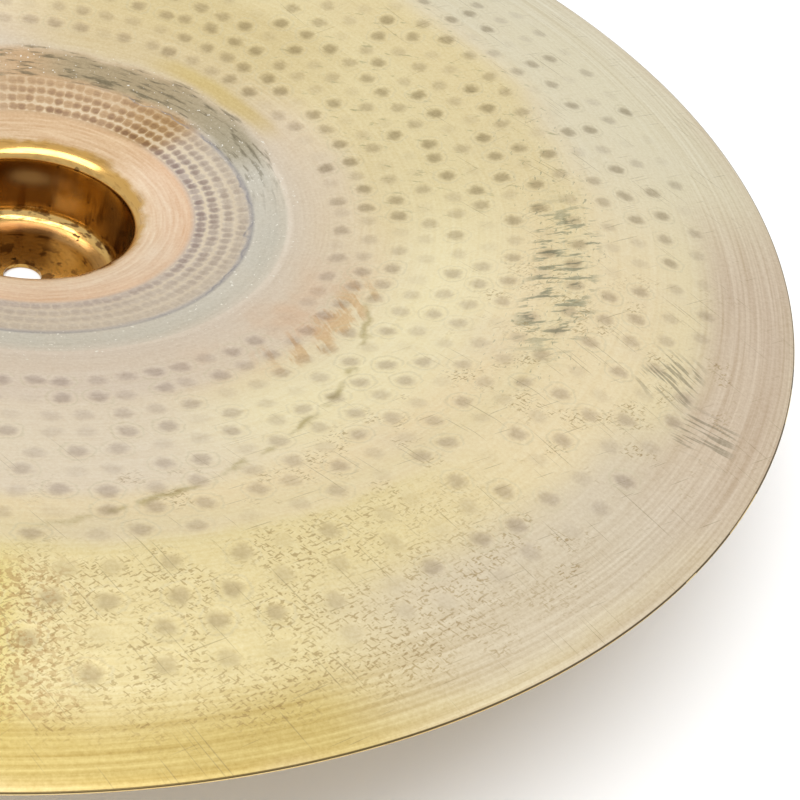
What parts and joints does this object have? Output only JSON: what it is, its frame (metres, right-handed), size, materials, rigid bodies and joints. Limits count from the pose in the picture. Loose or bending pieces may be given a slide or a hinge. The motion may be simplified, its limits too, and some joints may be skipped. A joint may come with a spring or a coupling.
{
  "type": "china cymbal",
  "caption": "Hammered bronze China-type crash cymbal: cup-shaped bell with a centre hole, rising bow, crease and reversed flange.",
  "frame": {"origin": "on the axis of symmetry, in the plane of the bell's flat outer face that the cymbal rests on", "axes": "+Z is the axis of symmetry, from the bell towards the rim, so the cymbal lies bell down; X and Y lie in the plane of the rim"},
  "size_m": [0.4572, 0.4572, 0.0555],
  "materials": {
    "bronze": "hammered and lathed bell bronze, dull pale straw with mottled grey and brown tarnish, satin"
  },
  "bodies": {
    "root": {"cymbal": "bronze"}
  },
  "joints": []
}
